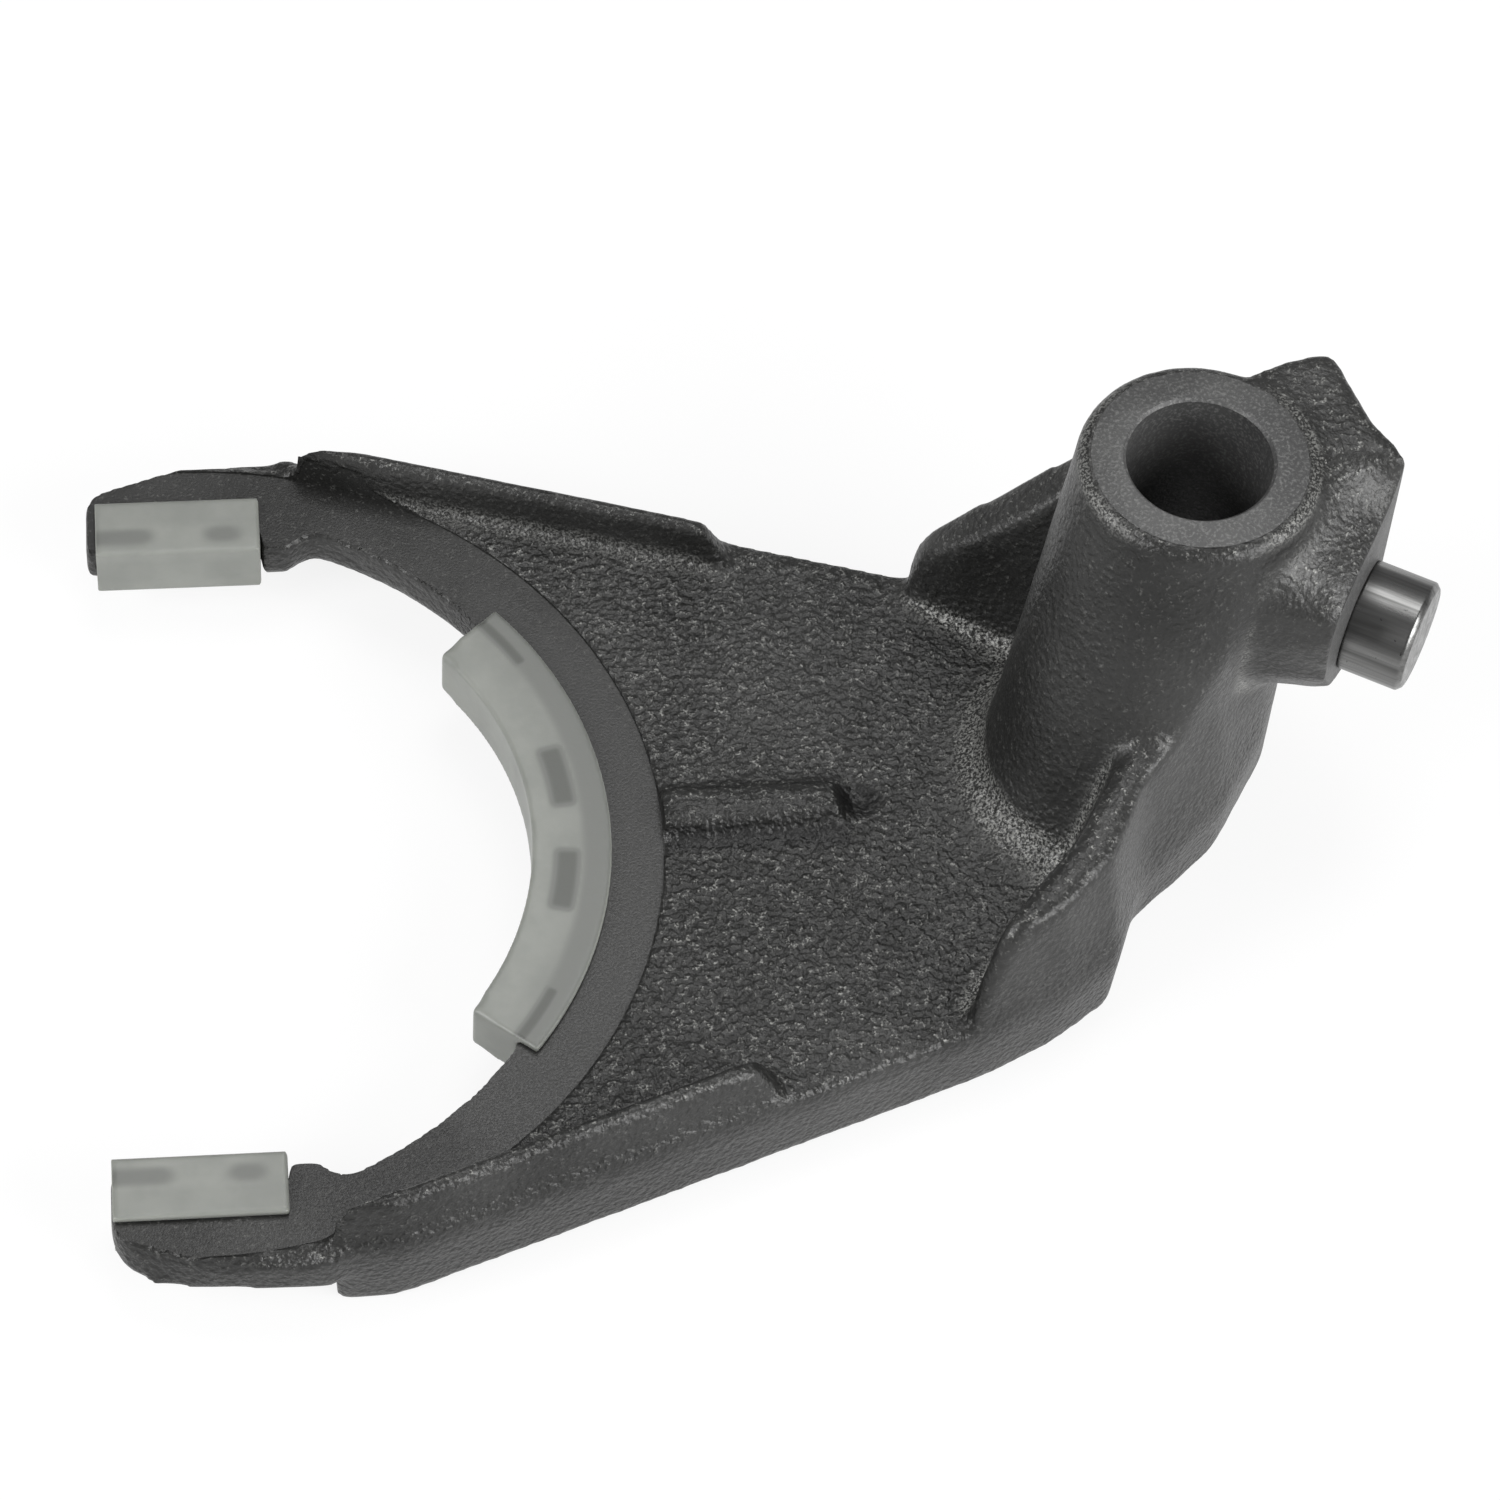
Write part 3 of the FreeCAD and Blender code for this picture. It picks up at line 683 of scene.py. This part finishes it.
def paintCasting(piece):
    # Machined faces take the second material, and the edges round them stay crisp
    c = casting
    mesh = piece.data
    mesh.materials.clear()
    mesh.materials.append(materials["castIron"])
    mesh.materials.append(materials["workedIron"])
    count = len(mesh.polygons)
    centre = np.empty(count * 3)
    normal = np.empty(count * 3, np.float32)
    mesh.polygons.foreach_get("center", centre)
    mesh.polygons.foreach_get("normal", normal)
    centre, normal = centre.reshape(-1, 3), normal.reshape(-1, 3)
    near = 0.02 * mm
    flatUp = np.abs(normal[:, 2]) > 0.999
    onHub = flatUp & ((np.abs(centre[:, 2] - c["hubTop"]) < near) | (np.abs(centre[:, 2]) < near))
    inBore = np.hypot(centre[:, 0], centre[:, 1]) < c["boreRadius"] + c["boreChamfer"] + 0.05 * mm
    root, along, across = pinFrame()
    onEar = np.abs(centre @ np.array(along) - c["earFace"]) < near
    worked = onHub | inBore | onEar
    mesh.polygons.foreach_set("material_index", worked.astype(np.int32))
    mesh.polygons.foreach_set("use_smooth", np.ones(count, bool))
    mesh.update()
    mesh.set_sharp_from_angle(angle=math.radians(32))
    return piece


def buildCasting():
    piece = roughBlank()
    print("blank", len(piece.data.vertices))
    dressBlank(piece)
    grainSkin(piece)
    machine(piece)
    paintCasting(piece)
    triangles = sum(len(p.vertices) - 2 for p in piece.data.polygons)
    print("casting triangles", triangles, "hollow kept", "hollow" in piece.data.attributes)
    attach(piece, "root")
    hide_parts("fork_casting")
    return piece


# Nylon pads

pads = {
    "voxel": 0.27 * mm,
    "rounds": 3,
    "turn": 1.1,
    "halfAngle": 39.5,
    "teeth": (-9.6, 9.6),
    "toothHalf": 6.1,
    "tipTeeth": ((-12.0, -3.0), (1.8, 6.9)),
    "endRounds": 70,
}


def centrePadShade(co, normal):
    # Painted darkness: over the teeth and the web, and at both ends where the photo shows dark catches
    c = casting
    dx, dy = co[:, 0] - c["throat"].x, co[:, 1] - c["throat"].y
    radius = np.hypot(dx, dy) / mm
    angle = np.degrees(np.arctan2(dy, dx))
    flange = 0.16 * fade(radius, 38.2, 42.0) + 0.30 * fade(radius, 42.0, 43.4)
    teeth = np.zeros(len(co))
    face = np.zeros(len(co))
    half = pads["toothHalf"]
    for middle in pads["teeth"]:
        tooth = window(angle, middle - half + 0.5, middle + half - 0.5, 1.1)
        teeth = np.maximum(teeth, tooth * window(radius, 39.5, 42.3, 0.75))
        face = np.maximum(face, window(angle, middle - half, middle + half, 1.6))
    fromEnd = pads["halfAngle"] - np.abs(angle - pads["turn"])
    catches = (1 - fade(fromEnd, 9.2, 10.8)) * window(radius, 42.6, 44.2, 0.6)
    flat = fade(np.abs(normal[:, 2]), 0.6, 0.9)
    inner = (1 - flat) * (1 - fade(radius, 37.4, 38.0)) * face * 0.22
    inner *= window(co[:, 2] / mm, 6.4, 11.2, 0.9)
    return np.maximum(flat * np.maximum.reduce([flange, 0.85 * teeth, 0.9 * catches]), inner)


# Painted shade where metal lies behind the thin nylon: over the web and over the teeth
def tipPadShade(side):
    def shade(co, normal):
        c = casting
        along = (co[:, 0] - c["throat"].x) / mm
        across = side * (co[:, 1] - c["throat"].y) / mm
        flat = fade(np.abs(normal[:, 2]), 0.6, 0.9)
        web = 0.14 * fade(across, 42.4, 44.0)
        teeth = np.zeros(len(co))
        face = np.zeros(len(co))
        for low, high in pads["tipTeeth"]:
            tooth = window(along, low + 0.6, high - 0.6, 1.5) * window(across, 40.9, 42.9, 1.0)
            teeth = np.maximum(teeth, tooth)
            face = np.maximum(face, window(along, low, high, 1.2))
        inner = (1 - flat) * (1 - fade(across, 39.8, 40.3)) * face * 0.16
        inner *= window(co[:, 2] / mm, 6.6, 11.0, 1.0)
        return np.maximum(flat * np.maximum(web, 0.55 * teeth), inner)
    return shade


def roundPadEnds(skin):
    # The moulded pad's two inner corners are well rounded
    c = casting
    dx, dy = skin.co[:, 0] - c["throat"].x, skin.co[:, 1] - c["throat"].y
    fromEnd = pads["halfAngle"] - np.abs(np.degrees(np.arctan2(dy, dx)) - pads["turn"])
    near = (1 - fade(fromEnd, 2.0, 4.5)) * (1 - fade(np.hypot(dx, dy), 38.2 * mm, 40.4 * mm))
    skin.relax(pads["endRounds"], near)


def buildPad(node, name, shade):
    piece = remesh(copyOfNode(node, name), pads["voxel"])
    skin = Skin(piece.data)
    skin.relax(pads["rounds"])
    if node == "centre_pad":
        roundPadEnds(skin)
    skin.store()
    setFloat(piece.data, "shadeBehind", shade(skin.co, skin.normals()))
    piece.data.materials.clear()
    piece.data.materials.append(materials["nylon"])
    piece.data.polygons.foreach_set("use_smooth", np.ones(len(piece.data.polygons), bool))
    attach(piece, "root")
    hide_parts(node)
    print(name, len(piece.data.polygons))
    return piece


# Follower pin

pin = {
    "radius": 6.35 * mm,
    "shank": 6.0 * mm,
    "standOut": 7.4 * mm,
    "sunk": 10.0 * mm,
    "chamfer": 0.5 * mm,
    "edge": 0.15 * mm,
    "segments": 96,
}


def buildPin():
    c = casting
    root, along, across = pinFrame()
    turn = along.to_track_quat("Z", "Y").to_matrix().to_4x4()
    place = Matrix.Translation(root + along * c["earFace"]) @ turn
    r, end, ch, edge = pin["radius"], pin["standOut"], pin["chamfer"], pin["edge"]
    shank, foot = pin["shank"], -pin["sunk"]
    profile = [
        (0, end), (r * 0.5, end), (r - ch - 2 * edge, end), (r - ch - edge, end),
        (r - ch, end - edge * 0.4), (r - edge * 0.4, end - ch), (r, end - ch - edge),
        (r, end - ch - 2 * edge), (r, end * 0.5), (r, 2 * edge), (r, edge), (r - edge, 0),
        (shank, 0), (shank, foot + ch), (shank - ch, foot), (0, foot),
    ]
    work = bmesh.new()
    addLathe(work, profile, place, pin["segments"])
    bmesh.ops.recalc_face_normals(work, faces=work.faces)
    mesh = bpy.data.meshes.new("followerPin")
    work.to_mesh(mesh)
    work.free()
    mesh.materials.append(materials["groundSteel"])
    mesh.polygons.foreach_set("use_smooth", np.ones(len(mesh.polygons), bool))
    mesh.update()
    mesh.set_sharp_from_angle(angle=math.radians(50))
    piece = newPiece("followerPin", mesh)
    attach(piece, "root")
    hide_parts("follower_pin")
    return piece


# Studio

studio = {
    "floorSize": 4.0,
    "floorDrop": 0.2 * mm,
    "floorGlow": 0.86,
    "world": 0.30,
    "target": Vector((-48, -15, 12)) * mm,
    "softboxes": (
        ("rightSoftbox", -38, 26, 0.9, (0.6, 0.6), 9.0),
        ("leftSoftbox", 200, 34, 1.0, (0.4, 0.5), 7.0),
        ("topSoftbox", 70, 70, 1.0, (0.5, 0.5), 3.5),
    ),
    "camera": Vector((-104.10, -373.61, 551.58)) * mm,
    "azimuth": math.radians(-8.83),
    "elevation": math.radians(55.60),
    "roll": math.radians(4.94),
    "focalPixels": 5865.0,
    "imagePixels": 1500.0,
    "sensor": 36.0,
}


def buildFloor():
    mesh = bpy.data.meshes.new("floor")
    half = studio["floorSize"] / 2
    corners = [(-half, -half, 0), (half, -half, 0), (half, half, 0), (-half, half, 0)]
    mesh.from_pydata(corners, [], [(0, 1, 2, 3)])
    floor = newPiece("floor", mesh)
    floor.location.z = -studio["floorDrop"]
    material, tree, shader = newMaterial("paleFloor")
    shader.inputs["Base Color"].default_value = (0.86, 0.86, 0.86, 1)
    shader.inputs["Roughness"].default_value = 0.9
    shader.inputs["Specular IOR Level"].default_value = 0.1
    glow = addNode(tree, "ShaderNodeEmission")
    glow.inputs["Strength"].default_value = 1.0
    rays = addNode(tree, "ShaderNodeLightPath")
    seen = mathNode(tree, "MAXIMUM", rays.outputs["Is Camera Ray"], rays.outputs["Is Glossy Ray"])
    seen = mathNode(tree, "MAXIMUM", seen, rays.outputs["Is Transmission Ray"])
    mix = addNode(tree, "ShaderNodeMixShader")
    link(tree, mathNode(tree, "MULTIPLY", seen, studio["floorGlow"]), mix.inputs[0])
    link(tree, shader.outputs[0], mix.inputs[1])
    link(tree, glow.outputs[0], mix.inputs[2])
    link(tree, mix.outputs[0], tree.nodes["Material Output"].inputs["Surface"])
    mesh.materials.append(material)


def buildWorld():
    world = bpy.data.worlds.new("studio")
    bpy.context.scene.world = world
    world.use_nodes = True
    tree = world.node_tree
    tree.nodes.clear()
    soft = addNode(tree, "ShaderNodeBackground")
    soft.inputs["Color"].default_value = (1, 1, 1, 1)
    soft.inputs["Strength"].default_value = studio["world"]
    white = addNode(tree, "ShaderNodeBackground")
    white.inputs["Color"].default_value = (1, 1, 1, 1)
    white.inputs["Strength"].default_value = 1.0
    rays = addNode(tree, "ShaderNodeLightPath")
    mix = addNode(tree, "ShaderNodeMixShader")
    link(tree, rays.outputs["Is Camera Ray"], mix.inputs[0])
    link(tree, soft.outputs[0], mix.inputs[1])
    link(tree, white.outputs[0], mix.inputs[2])
    out = addNode(tree, "ShaderNodeOutputWorld")
    link(tree, mix.outputs[0], out.inputs["Surface"])


def addSoftbox(name, heading, height, distance, size, watts):
    # Heading is measured from +X towards +Y, like the height in degrees
    turn, lift = math.radians(heading), math.radians(height)
    away = Vector((math.cos(turn) * math.cos(lift), math.sin(turn) * math.cos(lift), math.sin(lift)))
    lamp = bpy.data.lights.new(name, "AREA")
    lamp.shape = "RECTANGLE"
    lamp.size, lamp.size_y = size
    lamp.energy = watts
    holder = bpy.data.objects.new(name, lamp)
    bpy.context.scene.collection.objects.link(holder)
    holder.location = studio["target"] + away * distance
    holder.rotation_euler = away.to_track_quat("Z", "Y").to_euler()


def buildCamera():
    s = studio
    a, e, r = s["azimuth"], s["elevation"], s["roll"]
    back = Vector((math.sin(a) * math.cos(e), -math.cos(a) * math.cos(e), math.sin(e)))
    flat = Vector((math.cos(a), math.sin(a), 0))
    top = back.cross(flat)
    right = flat * math.cos(r) + top * math.sin(r)
    up = top * math.cos(r) - flat * math.sin(r)
    data = bpy.data.cameras.new("camera")
    data.sensor_width = s["sensor"]
    data.lens = s["focalPixels"] / s["imagePixels"] * s["sensor"]
    data.clip_start = 0.01
    data.clip_end = 20.0
    camera = bpy.data.objects.new("camera", data)
    bpy.context.scene.collection.objects.link(camera)
    matrix = Matrix((right, up, back)).transposed().to_4x4()
    matrix.translation = s["camera"]
    camera.matrix_world = matrix
    bpy.context.scene.camera = camera


materials = {
    "castIron": castIronMaterial(),
    "workedIron": workedIronMaterial(),
    "nylon": nylonMaterial(),
    "groundSteel": groundSteelMaterial(),
}
buildCasting()
buildPad("centre_pad", "centrePad", centrePadShade)
buildPad("upper_tip_pad", "upperTipPad", tipPadShade(1))
buildPad("lower_tip_pad", "lowerTipPad", tipPadShade(-1))
buildPin()
print("pieces made")
buildFloor()
buildWorld()
for softbox in studio["softboxes"]:
    addSoftbox(*softbox)
buildCamera()
bpy.context.scene.view_settings.view_transform = "Standard"
print("studio ready")
